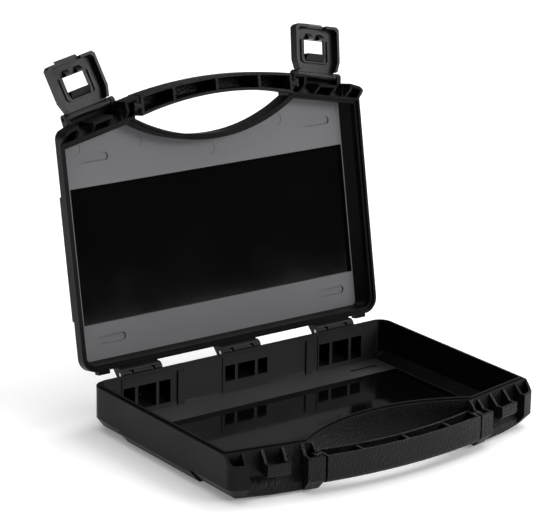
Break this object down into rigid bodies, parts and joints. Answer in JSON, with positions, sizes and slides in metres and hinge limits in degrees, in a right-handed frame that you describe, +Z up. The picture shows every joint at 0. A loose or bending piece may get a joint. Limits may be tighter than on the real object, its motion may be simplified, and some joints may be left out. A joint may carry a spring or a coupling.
{
  "type": "hard tool case",
  "caption": "Shallow hard plastic carrying case with a hinged lid, a two-part bow grip, two hook-over front latches and three pinned hinges, shown open and empty.",
  "frame": {"origin": "centre of the underside, midway between the side walls and between the back wall and the front corners of the rim", "axes": "+X to the right seen from the front, +Y towards the hinges, +Z up out of the base"},
  "size_m": [0.25, 0.2538, 0.2432],
  "materials": {
    "shell": "fine spark-eroded texture, satin black polypropylene",
    "grip": "coarse leather-like pebble texture, black polypropylene",
    "latch": "smooth satin black polypropylene",
    "pin": "drawn wire, cut ends"
  },
  "bodies": {
    "base": {"base_shell": "shell", "grip_half_base": "grip", "hinge_pin_left": "pin", "hinge_pin_middle": "pin", "hinge_pin_right": "pin"},
    "lid": {"lid_shell": "shell", "grip_half_lid": "grip", "latch_pin_left": "pin", "latch_pin_right": "pin"},
    "left_latch": {"latch_left": "latch"},
    "right_latch": {"latch_right": "latch"}
  },
  "joints": [
    {"name": "lid_hinge", "type": "hinge", "parent": "base", "child": "lid", "pos_m": [0, 0.0824, 0.0307], "axis": [1, 0, 0], "range_deg": [0, 100.3]},
    {"name": "left_latch_pivot", "type": "hinge", "parent": "lid", "child": "left_latch", "pos_m": [-0.09509, 0.12537, 0.20508], "axis": [0.9799, 0.0356, 0.1962], "range_deg": [-19.5, 103.5]},
    {"name": "right_latch_pivot", "type": "hinge", "parent": "lid", "child": "right_latch", "pos_m": [0.09509, 0.12537, 0.20508], "axis": [0.9799, -0.0356, -0.1962], "range_deg": [-23, 100]}
  ]
}
